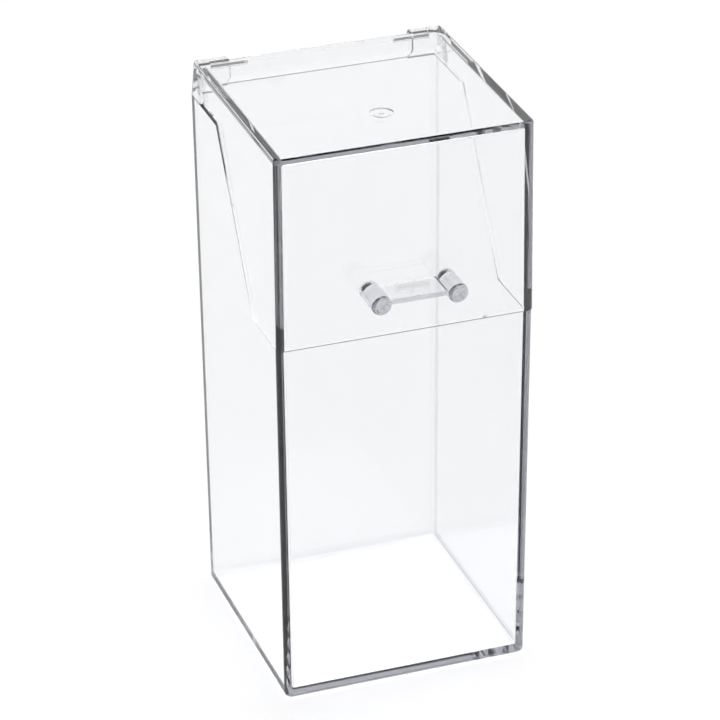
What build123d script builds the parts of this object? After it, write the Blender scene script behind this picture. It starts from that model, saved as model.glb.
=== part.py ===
"""Clear square counter box with a flip-up lid: body, lid, pull and two hinge pins.

Origin at the centre of the foot, +Z up, the front with the pull towards -Y, +X to the right.
"""
from build123d import *
import math
import os

os.makedirs("parts", exist_ok=True)

# ---- Driving dimensions, in millimetres and degrees --------------------------------------------
height = 158.0              # foot to the top of the closed lid
body_foot_half = 34.1       # half of the square plan at the foot
body_draft = 0.38           # the body widens upwards
lid_top_half = 34.6         # half of the square plan at the top of the lid
lid_draft = 0.28            # the lid widens downwards, to meet the body flush at the front seam

wall = 2.2                  # side, front and rear walls of both mouldings
floor_thickness = 2.6
top_thickness = 2.2
body_corner = 2.0           # upright outer corners of the body
lid_front_corner = 1.6      # upright outer corners of the lid at the front
lid_rear_corner = 3.2       # rounder at the rear, round the hinge lugs
foot_radius = 1.7           # outer edge round the foot
top_radius = 0.7            # outer edge round the top of the lid
body_inner_corner = 0.6
floor_inner_radius = 0.5
lid_inner_corner = 0.6
lid_inner_radius = 0.5      # between the lid's top plate and its walls

# The parting line on the side walls: low at the front, a slanted run, high at the rear
seam_front = 104.7
seam_rear = 148.0
slant_front_y = -14.3
slant_rear_y = 12.4
seam_gap = 0.2
rear_gap = 0.8              # more room where the lid's rear corners swing down past the wall

# Hinge: a rail with a round top stands on the rear wall between two lugs of the lid
hinge_below_top = 3.0       # hinge axis below the top of the lid
hinge_y = 32.0
rail_radius = 2.1           # round top of the rail about the axis, a little below the lid's top
rail_half_length = 25.3
side_gap = 0.3              # between each end of the rail and its lug
swing_gap = 0.35            # between the rail's round top and the lid's top plate
rail_depth_below_top = 6.4  # where the rail's and lugs' front faces end and slant to the wall

pin_diameter = 2.0
pin_inner_end = 21.0        # from the middle plane to the near end of each pin
pin_outer_end = 30.4
seat_clearance = 0.06       # radial, pin in the rail's seat: a running fit
press_clearance = 0.02      # radial, pin in the lug
pin_chamfer = 0.15
pin_end_gap = 0.1           # beyond the pin's outer end, in the lug
seat_end_gap = 0.7          # beyond the pin's inner end, in the rail
mouth_width = 1.8           # snap-in mouth behind each seat, narrower than the pin
mouth_neck = 1.2            # from the axis to where the mouth starts to widen
mouth_flare = 2.6           # the mouth's width just behind the rail

# The lid's rear corners flare outwards round the lugs
ear_half = 35.45            # half width at the ears' lower edge
ear_front_y = 25.0
ear_rear_y = 34.9
ear_height = 8.4
ear_taper = 5.4             # degrees, inwards to the lid's own sides

# Pull on the lid's front: two round posts joined by a flat web
post_spacing = 20.6
post_diameter = 5.3
post_length = 10.4
post_end_radius = 1.0       # rounded free ends
pull_z = 118.4
web_reach = 8.5
web_thickness = 1.4
spigot_diameter = 3.0
spigot_length = 1.5
bond_gap = 0.05

# Moulding gate on the lid's top
gate_y = -16.3
gate_diameter = 6.4
gate_island = 4.6
gate_depth = 0.35
gate_vestige = 1.3

# ---- Worked-out sizes --------------------------------------------------------------------------
hinge_z = height - hinge_below_top
rail_front = hinge_y - rail_radius
rail_rear = hinge_y + rail_radius
plate_rear_y = rail_front - swing_gap
lug_inner_x = rail_half_length + side_gap
relief_z = height - rail_depth_below_top
rail_foot_z = seam_rear - 1 # the rail runs this far down into the rear wall
lid_low = seam_front - 5    # the lid is made this deep before it is cut along the parting line
beyond = 60.0               # a reach that is past the outside everywhere
past = 1.0                  # a cut starts or ends this far outside the surface it opens


def body_half(z):
    """Half width of the body's drafted outside at height z."""
    return body_foot_half + z * math.tan(math.radians(body_draft))


def lid_half(z):
    """Half width of the lid's drafted outside at height z."""
    return lid_top_half + (height - z) * math.tan(math.radians(lid_draft))


def rounded_square(z, half, front_corner, rear_corner=None):
    """A square face with round corners at height z; the rear pair is like the front one unless given."""
    with BuildSketch(Plane.XY.offset(z)) as face:
        Rectangle(2 * half, 2 * half)
        fillet(face.vertices().group_by(Axis.Y)[0], front_corner)
        fillet(face.vertices().group_by(Axis.Y)[-1], rear_corner or front_corner)
    return face.sketch


# ---- Body: a drafted tub, cut along the parting line, with the hinge rail ----------------------
with BuildPart() as body_hollow:
    loft([
        rounded_square(floor_thickness, body_half(floor_thickness) - wall, body_inner_corner),
        rounded_square(height, body_half(height) - wall, body_inner_corner),
    ])
    fillet(body_hollow.faces().sort_by(Axis.Z)[0].edges(), floor_inner_radius)

with BuildPart() as body:
    loft([
        rounded_square(0, body_foot_half, body_corner),
        rounded_square(height, body_half(height), body_corner),
    ])
    fillet(body.faces().sort_by(Axis.Z)[0].edges(), foot_radius)
    add(body_hollow.part, mode=Mode.SUBTRACT)

    # Everything above the parting line belongs to the lid
    with BuildSketch(Plane.YZ):
        with BuildLine():
            Polyline(
                (-beyond, seam_front),
                (slant_front_y, seam_front),
                (slant_rear_y, seam_rear),
                (beyond, seam_rear),
                (beyond, 2 * height),
                (-beyond, 2 * height),
                close=True,
            )
        make_face()
    extrude(amount=beyond, both=True, mode=Mode.SUBTRACT)

    # Hinge rail: front face, slanted underside back to the wall, round top about the hinge axis
    root_y = body_half(seam_rear) - wall
    with BuildSketch(Plane.YZ):
        with BuildLine():
            Line((rail_front, hinge_z), (rail_front, relief_z))
            Line((rail_front, relief_z), (root_y, relief_z - (root_y - rail_front)))
            Line((root_y, relief_z - (root_y - rail_front)), (root_y, rail_foot_z))
            Line((root_y, rail_foot_z), (rail_rear, rail_foot_z))
            Line((rail_rear, rail_foot_z), (rail_rear, hinge_z))
            ThreePointArc((rail_rear, hinge_z), (hinge_y, hinge_z + rail_radius), (rail_front, hinge_z))
        make_face()
    extrude(amount=rail_half_length, both=True)

    # Open seats for the pins at both ends of the rail, with a flared snap-in mouth at the rear
    seat_radius = pin_diameter / 2 + seat_clearance
    seat_length = rail_half_length - pin_inner_end + seat_end_gap
    mouth_end = rail_rear + past
    for side in (-1, 1):
        with BuildSketch(Plane.YZ.offset(side * rail_half_length)):
            with Locations((hinge_y, hinge_z)):
                Circle(seat_radius)
            with BuildLine():
                Polyline(
                    (hinge_y, hinge_z - mouth_width / 2),
                    (hinge_y + mouth_neck, hinge_z - mouth_width / 2),
                    (mouth_end, hinge_z - mouth_flare / 2),
                    (mouth_end, hinge_z + mouth_flare / 2),
                    (hinge_y + mouth_neck, hinge_z + mouth_width / 2),
                    (hinge_y, hinge_z + mouth_width / 2),
                    close=True,
                )
            make_face()
        extrude(amount=-side * seat_length, mode=Mode.SUBTRACT)

body.part.label = "body"
export_step(body.part, "parts/body.step")

# ---- Lid: top plate, front wall and the upper parts of the side walls, with two hinge lugs -----
with BuildPart() as lid_hollow:
    hollow_top = height - top_thickness
    loft([
        rounded_square(lid_low - past, lid_half(lid_low - past) - wall, lid_inner_corner),
        rounded_square(hollow_top, lid_half(hollow_top) - wall, lid_inner_corner),
    ])
    fillet(lid_hollow.faces().sort_by(Axis.Z)[-1].edges(), lid_inner_radius)

with BuildPart() as lid:
    loft([
        rounded_square(lid_low, lid_half(lid_low), lid_front_corner, lid_rear_corner),
        rounded_square(height, lid_top_half, lid_front_corner, lid_rear_corner),
    ])
    fillet(lid.faces().sort_by(Axis.Z)[-1].edges(), top_radius)
    with BuildSketch(Plane.XY.offset(seam_rear + rear_gap)) as ears:
        with Locations((0, (ear_front_y + ear_rear_y) / 2)):
            Rectangle(2 * ear_half, ear_rear_y - ear_front_y)
        fillet(ears.vertices().group_by(Axis.Y)[-1], lid_rear_corner)
    extrude(amount=ear_height, taper=ear_taper)
    add(lid_hollow.part, mode=Mode.SUBTRACT)

    # Hinge lugs fill the rear corners, slanted underneath like the rail
    lug_root_y = lid_half(seam_rear) - wall / 2
    lug_wall_x = lid_half(height) - wall / 2
    for side in (-1, 1):
        with BuildSketch(Plane.YZ.offset(side * lug_inner_x)):
            with BuildLine():
                Polyline(
                    (plate_rear_y, height - top_thickness / 2),
                    (plate_rear_y, relief_z),
                    (lug_root_y, relief_z - (lug_root_y - plate_rear_y)),
                    (lug_root_y, height - top_thickness / 2),
                    close=True,
                )
            make_face()
        extrude(amount=side * (lug_wall_x - lug_inner_x))

    # The lugs' upper rear edge is round about the hinge axis
    knuckle_middle = hinge_below_top * math.sqrt(0.5)
    with BuildSketch(Plane.YZ):
        with BuildLine():
            ThreePointArc(
                (hinge_y, height),
                (hinge_y + knuckle_middle, hinge_z + knuckle_middle),
                (hinge_y + hinge_below_top, hinge_z),
            )
            Polyline(
                (hinge_y + hinge_below_top, hinge_z),
                (beyond, hinge_z),
                (beyond, height + past),
                (hinge_y, height + past),
                (hinge_y, height),
            )
        make_face()
    extrude(amount=beyond, both=True, mode=Mode.SUBTRACT)

    # Everything below the parting line belongs to the body, with a small gap between the two
    slant = math.atan2(seam_rear - seam_front, slant_rear_y - slant_front_y)
    slant_shift = seam_gap / math.sin(slant)
    with BuildSketch(Plane.YZ):
        with BuildLine():
            Polyline(
                (-beyond, seam_front + seam_gap),
                (slant_front_y - slant_shift + seam_gap / math.tan(slant), seam_front + seam_gap),
                (slant_rear_y - slant_shift + rear_gap / math.tan(slant), seam_rear + rear_gap),
                (beyond, seam_rear + rear_gap),
                (beyond, 0),
                (-beyond, 0),
                close=True,
            )
        make_face()
    extrude(amount=beyond, both=True, mode=Mode.SUBTRACT)

    # The rear is open between the lugs, where the body's rail stands
    with BuildSketch(Plane.XY.offset(rail_foot_z)):
        with Locations((0, plate_rear_y + beyond / 2)):
            Rectangle(2 * lug_inner_x, beyond)
    extrude(amount=beyond, mode=Mode.SUBTRACT)

    # Blind bores for the pins, from each lug's inner face
    for side in (-1, 1):
        with BuildSketch(Plane.YZ.offset(side * lug_inner_x)):
            with Locations((hinge_y, hinge_z)):
                Circle(pin_diameter / 2 + press_clearance)
        extrude(amount=side * (pin_outer_end - lug_inner_x + pin_end_gap), mode=Mode.SUBTRACT)

    # Blind holes for the pull's two spigots
    front_y = -lid_half(pull_z)
    with BuildSketch(Plane.XZ.offset(past - front_y)):
        with Locations((-post_spacing / 2, pull_z), (post_spacing / 2, pull_z)):
            Circle(spigot_diameter / 2 + press_clearance)
    extrude(amount=-(spigot_length + past + bond_gap), mode=Mode.SUBTRACT)

    # Gate mark: a shallow round recess with an island and a cut-off vestige
    with BuildSketch(Plane.XY.offset(height)):
        with Locations((0, gate_y)):
            Circle(gate_diameter / 2)
            Circle(gate_island / 2, mode=Mode.SUBTRACT)
    extrude(amount=-gate_depth, mode=Mode.SUBTRACT)
    with BuildSketch(Plane.XY.offset(height)):
        with Locations((0, gate_y)):
            Circle(gate_island / 2)
            Circle(gate_vestige / 2, mode=Mode.SUBTRACT)
    extrude(amount=-gate_depth / 2, mode=Mode.SUBTRACT)

lid.part.label = "lid"
export_step(lid.part, "parts/lid.step")

# ---- Pull: two posts and a web in one moulding, with spigots in the lid's front wall -----------
pull_back = -front_y + bond_gap
with BuildPart() as lid_pull:
    with BuildSketch(Plane.XZ.offset(pull_back)):
        with Locations((-post_spacing / 2, pull_z), (post_spacing / 2, pull_z)):
            Circle(post_diameter / 2)
    extrude(amount=post_length)
    fillet(lid_pull.edges().filter_by(GeomType.CIRCLE).group_by(Axis.Y)[0], post_end_radius)
    with BuildSketch(Plane.XZ.offset(pull_back)):
        with Locations((0, pull_z)):
            Rectangle(post_spacing, web_thickness)
    extrude(amount=web_reach)
    with BuildSketch(Plane.XZ.offset(pull_back)):
        with Locations((-post_spacing / 2, pull_z), (post_spacing / 2, pull_z)):
            Circle(spigot_diameter / 2)
    extrude(amount=-spigot_length)

lid_pull.part.label = "lid_pull"
export_step(lid_pull.part, "parts/lid_pull.step")

# ---- Hinge pins: plain steel rods with a small chamfer at each end -----------------------------
for side, name in ((-1, "hinge_pin_left"), (1, "hinge_pin_right")):
    with BuildPart() as hinge_pin:
        with BuildSketch(Plane.YZ.offset(side * pin_inner_end)):
            with Locations((hinge_y, hinge_z)):
                Circle(pin_diameter / 2)
        extrude(amount=side * (pin_outer_end - pin_inner_end))
        chamfer(hinge_pin.edges().filter_by(GeomType.CIRCLE), pin_chamfer)
    hinge_pin.part.label = name
    export_step(hinge_pin.part, f"parts/{name}.step")
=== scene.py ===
"""Looks for the clear flip-top pick box: clear plastic, steel pins, soft studio light and camera."""

import math

import bpy
from mathutils import Matrix, Vector


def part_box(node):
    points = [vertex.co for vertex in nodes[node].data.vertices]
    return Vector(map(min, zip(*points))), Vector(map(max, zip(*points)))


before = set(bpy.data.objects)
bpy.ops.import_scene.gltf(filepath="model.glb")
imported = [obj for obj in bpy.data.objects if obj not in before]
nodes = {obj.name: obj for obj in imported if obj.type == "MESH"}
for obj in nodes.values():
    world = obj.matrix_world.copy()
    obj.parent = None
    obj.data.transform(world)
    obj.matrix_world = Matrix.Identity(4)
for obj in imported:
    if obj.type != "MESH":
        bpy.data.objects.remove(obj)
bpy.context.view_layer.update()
scene = bpy.context.scene

# ---- Where the object is ------------------------------------------------------------------------
foot_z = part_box("body")[0][2]
top_z = max(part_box(node)[1][2] for node in ("body", "lid"))
middle = Vector((0, 0, top_z / 2))

# ---- Materials ----------------------------------------------------------------------------------
# The part of a 0 to 1 noise pattern that most of its area lies in
PATTERN_LOW, PATTERN_HIGH = 0.35, 0.65

# Clear polystyrene
PLASTIC_TINT = (0.972, 0.975, 0.98, 1)
SHADOW_TINT = (0.995, 0.995, 0.996, 1)
DEPTH_TINT = (0.70, 0.705, 0.735, 1)
REFRACTIVE_INDEX = 1.57
BOX_DENSITY, PULL_DENSITY = 44.0, 130.0  # absorption, per metre
HAZE = 0.02                              # roughness where the surface is dullest
RIPPLE, RIPPLE_DEPTH = 0.02, 0.001
HAZE_SCALE, RIPPLE_SCALE = 420.0, 28.0   # cycles per metre, as for every scale below

# Dark drawn steel
STEEL_DARK, STEEL_LIGHT = (0.012, 0.012, 0.014, 1), (0.04, 0.04, 0.042, 1)
STEEL_SMOOTH, STEEL_ROUGH = 0.25, 0.45
DRAW_STRETCH = 0.03                      # the drawing lines are this much coarser along the pin
LINE_SCALE, STAIN_SCALE = 9000.0, 900.0
LINE_STRENGTH, LINE_DEPTH = 0.2, 0.00002

# Floor paper
PAPER_TINT = (0.88, 0.88, 0.88, 1)
PAPER_SMOOTH, PAPER_ROUGH = 0.75, 0.85
PAPER_SCALE = 300.0


def new_material(name):
    """A material with an empty node tree."""
    material = bpy.data.materials.new(name)
    material.use_nodes = True
    material.node_tree.nodes.clear()
    return material


def noise(tree, coords, scale, detail=2.0):
    """A noise pattern in the object's own coordinates; scale is in cycles per metre."""
    node = tree.nodes.new("ShaderNodeTexNoise")
    node.inputs["Scale"].default_value = scale
    node.inputs["Detail"].default_value = detail
    tree.links.new(coords, node.inputs["Vector"])
    return node.outputs["Fac"]


def spread(tree, value, low_out, high_out):
    """Maps the middle of a 0 to 1 pattern to a range."""
    node = tree.nodes.new("ShaderNodeMapRange")
    node.inputs["From Min"].default_value = PATTERN_LOW
    node.inputs["From Max"].default_value = PATTERN_HIGH
    node.inputs["To Min"].default_value = low_out
    node.inputs["To Max"].default_value = high_out
    tree.links.new(value, node.inputs["Value"])
    return node.outputs["Result"]


def clear_plastic(name, ripple, density):
    """Clear moulded polystyrene: bends and mirrors light, and darkens it over a long way through."""
    material = new_material(name)
    tree = material.node_tree
    coords = tree.nodes.new("ShaderNodeTexCoord").outputs["Object"]

    body = tree.nodes.new("ShaderNodeBsdfPrincipled")
    body.inputs["Base Color"].default_value = PLASTIC_TINT
    body.inputs["IOR"].default_value = REFRACTIVE_INDEX
    body.inputs["Transmission Weight"].default_value = 1.0
    haze = spread(tree, noise(tree, coords, HAZE_SCALE, 4.0), 0.0, HAZE)
    tree.links.new(haze, body.inputs["Roughness"])

    # Slow ripples left by the flow of the melt, far shallower than the wall is thick
    bump = tree.nodes.new("ShaderNodeBump")
    bump.inputs["Strength"].default_value = ripple
    bump.inputs["Distance"].default_value = RIPPLE_DEPTH
    tree.links.new(noise(tree, coords, RIPPLE_SCALE, 1.5), bump.inputs["Height"])
    tree.links.new(bump.outputs["Normal"], body.inputs["Normal"])

    # Lamps shine through the plastic, so that its shadow is as pale as a real one
    shadow = tree.nodes.new("ShaderNodeBsdfTransparent")
    shadow.inputs["Color"].default_value = SHADOW_TINT
    path = tree.nodes.new("ShaderNodeLightPath")
    mix = tree.nodes.new("ShaderNodeMixShader")
    tree.links.new(path.outputs["Is Shadow Ray"], mix.inputs["Fac"])
    tree.links.new(body.outputs["BSDF"], mix.inputs[1])
    tree.links.new(shadow.outputs["BSDF"], mix.inputs[2])

    depth = tree.nodes.new("ShaderNodeVolumeAbsorption")
    depth.inputs["Color"].default_value = DEPTH_TINT
    depth.inputs["Density"].default_value = density

    output = tree.nodes.new("ShaderNodeOutputMaterial")
    tree.links.new(mix.outputs["Shader"], output.inputs["Surface"])
    tree.links.new(depth.outputs["Volume"], output.inputs["Volume"])
    return material


def drawn_steel(name):
    """Dark drawn steel wire: fine lines along the pin and a little stain."""
    material = new_material(name)
    tree = material.node_tree
    coords = tree.nodes.new("ShaderNodeTexCoord").outputs["Object"]
    stretch = tree.nodes.new("ShaderNodeMapping")
    stretch.inputs["Scale"].default_value = (DRAW_STRETCH, 1.0, 1.0)
    tree.links.new(coords, stretch.inputs["Vector"])
    lines = noise(tree, stretch.outputs["Vector"], LINE_SCALE, 3.0)
    stain = noise(tree, coords, STAIN_SCALE, 3.0)

    steel = tree.nodes.new("ShaderNodeBsdfPrincipled")
    steel.inputs["Metallic"].default_value = 1.0
    colour = tree.nodes.new("ShaderNodeValToRGB")
    colour.color_ramp.elements[0].color = STEEL_DARK
    colour.color_ramp.elements[1].color = STEEL_LIGHT
    tree.links.new(stain, colour.inputs["Fac"])
    tree.links.new(colour.outputs["Color"], steel.inputs["Base Color"])
    tree.links.new(spread(tree, lines, STEEL_SMOOTH, STEEL_ROUGH), steel.inputs["Roughness"])
    bump = tree.nodes.new("ShaderNodeBump")
    bump.inputs["Strength"].default_value = LINE_STRENGTH
    bump.inputs["Distance"].default_value = LINE_DEPTH
    tree.links.new(lines, bump.inputs["Height"])
    tree.links.new(bump.outputs["Normal"], steel.inputs["Normal"])

    output = tree.nodes.new("ShaderNodeOutputMaterial")
    tree.links.new(steel.outputs["BSDF"], output.inputs["Surface"])
    return material


def plain_floor(name):
    """Matt white paper."""
    material = new_material(name)
    tree = material.node_tree
    coords = tree.nodes.new("ShaderNodeTexCoord").outputs["Object"]
    paper = tree.nodes.new("ShaderNodeBsdfPrincipled")
    paper.inputs["Base Color"].default_value = PAPER_TINT
    grain = spread(tree, noise(tree, coords, PAPER_SCALE, 4.0), PAPER_SMOOTH, PAPER_ROUGH)
    tree.links.new(grain, paper.inputs["Roughness"])
    output = tree.nodes.new("ShaderNodeOutputMaterial")
    tree.links.new(paper.outputs["BSDF"], output.inputs["Surface"])
    return material


def wear(node, material):
    """Gives a CAD node one material over all its faces."""
    mesh = nodes[node].data
    mesh.materials.clear()
    mesh.materials.append(material)


wear("body", clear_plastic("body_clear", RIPPLE, BOX_DENSITY))
wear("lid", clear_plastic("lid_clear", RIPPLE, BOX_DENSITY))
wear("lid_pull", clear_plastic("pull_clear", 0.0, PULL_DENSITY))
steel_material = drawn_steel("pin_steel")
for pin in ("hinge_pin_left", "hinge_pin_right"):
    wear(pin, steel_material)

# ---- Floor --------------------------------------------------------------------------------------
FLOOR_HALF = 3.0
FLOOR_DROP = 0.0002  # keeps the floor just clear of the foot
floor_corners = [(x * FLOOR_HALF, y * FLOOR_HALF, 0) for x, y in ((-1, -1), (1, -1), (1, 1), (-1, 1))]
floor_mesh = bpy.data.meshes.new("floor")
floor_mesh.from_pydata(floor_corners, [], [(0, 1, 2, 3)])
floor = bpy.data.objects.new("floor", floor_mesh)
floor.location.z = foot_z - FLOOR_DROP
floor_mesh.materials.append(plain_floor("floor_paper"))
scene.collection.objects.link(floor)

# ---- Light --------------------------------------------------------------------------------------
SOFTBOXES = (
    # name, place, size, watts
    ("softbox_above", (0.2, 0.4, 3.0), 1.6, 50.0),
    ("softbox_left", (-1.2, -0.6, 0.8), 0.8, 2.5),
    ("softbox_right", (1.2, 0.3, 0.8), 0.8, 2.0),
)
# The room is pale up to WALL_TOP degrees above the horizon and dark above CEILING degrees
WALL_TOP, CEILING = 36.0, 52.0
WALL_BRIGHTNESS, CEILING_BRIGHTNESS = 1.05, 0.12


def softbox(name, place, size, power):
    """A square area lamp that faces the middle of the object."""
    data = bpy.data.lights.new(name, "AREA")
    data.shape = "SQUARE"
    data.size = size
    data.energy = power
    lamp = bpy.data.objects.new(name, data)
    lamp.location = place
    lamp.rotation_euler = (middle - Vector(place)).to_track_quat("-Z", "Y").to_euler()
    scene.collection.objects.link(lamp)


def studio_world():
    """A pale room that fades to a dark ceiling, which gives clear edges their contrast."""
    world = bpy.data.worlds.new("studio")
    world.use_nodes = True
    tree = world.node_tree
    direction = tree.nodes.new("ShaderNodeTexCoord").outputs["Generated"]
    parts = tree.nodes.new("ShaderNodeSeparateXYZ")
    tree.links.new(direction, parts.inputs["Vector"])
    fade = tree.nodes.new("ShaderNodeMapRange")
    fade.inputs["From Min"].default_value = math.sin(math.radians(WALL_TOP))
    fade.inputs["From Max"].default_value = math.sin(math.radians(CEILING))
    fade.inputs["To Min"].default_value = WALL_BRIGHTNESS
    fade.inputs["To Max"].default_value = CEILING_BRIGHTNESS
    tree.links.new(parts.outputs["Z"], fade.inputs["Value"])
    tree.links.new(fade.outputs["Result"], tree.nodes["Background"].inputs["Strength"])
    tree.nodes["Background"].inputs["Color"].default_value = (1, 1, 1, 1)
    return world


for box in SOFTBOXES:
    softbox(*box)
scene.world = studio_world()

# ---- Camera -------------------------------------------------------------------------------------
AZIMUTH, ELEVATION, ROLL = (math.radians(angle) for angle in (-19.38, 27.71, -0.51))
DISTANCE = 0.9672
SENSOR = 36.0
FOCAL_PIXELS, FRAME_PIXELS = 3627.0, 720.0
AIM_SHIFT = (-0.00056, 0.00040)
AIM_HEIGHT = 0.0789
CLIP_START = 0.01

back = Vector((
    math.sin(AZIMUTH) * math.cos(ELEVATION),
    -math.cos(AZIMUTH) * math.cos(ELEVATION),
    math.sin(ELEVATION),
))
level = Vector((0, 0, 1)).cross(back).normalized()
upright = back.cross(level)
across = level * math.cos(ROLL) + upright * math.sin(ROLL)
above = upright * math.cos(ROLL) - level * math.sin(ROLL)

camera_data = bpy.data.cameras.new("camera")
camera_data.sensor_width = SENSOR
camera_data.lens = FOCAL_PIXELS / FRAME_PIXELS * SENSOR
camera_data.clip_start = CLIP_START
camera = bpy.data.objects.new("camera", camera_data)
place = Vector((0, 0, AIM_HEIGHT)) + back * DISTANCE + across * AIM_SHIFT[0] + above * AIM_SHIFT[1]
camera.matrix_world = Matrix.Translation(place) @ Matrix((across, above, back)).transposed().to_4x4()
scene.collection.objects.link(camera)
scene.camera = camera

scene.view_settings.view_transform = "Standard"
# Light crosses many clear walls, and runs a long way inside them
BOUNCES, GLOSSY_BOUNCES = 24, 12
scene.cycles.max_bounces = BOUNCES
scene.cycles.transmission_bounces = BOUNCES
scene.cycles.glossy_bounces = GLOSSY_BOUNCES
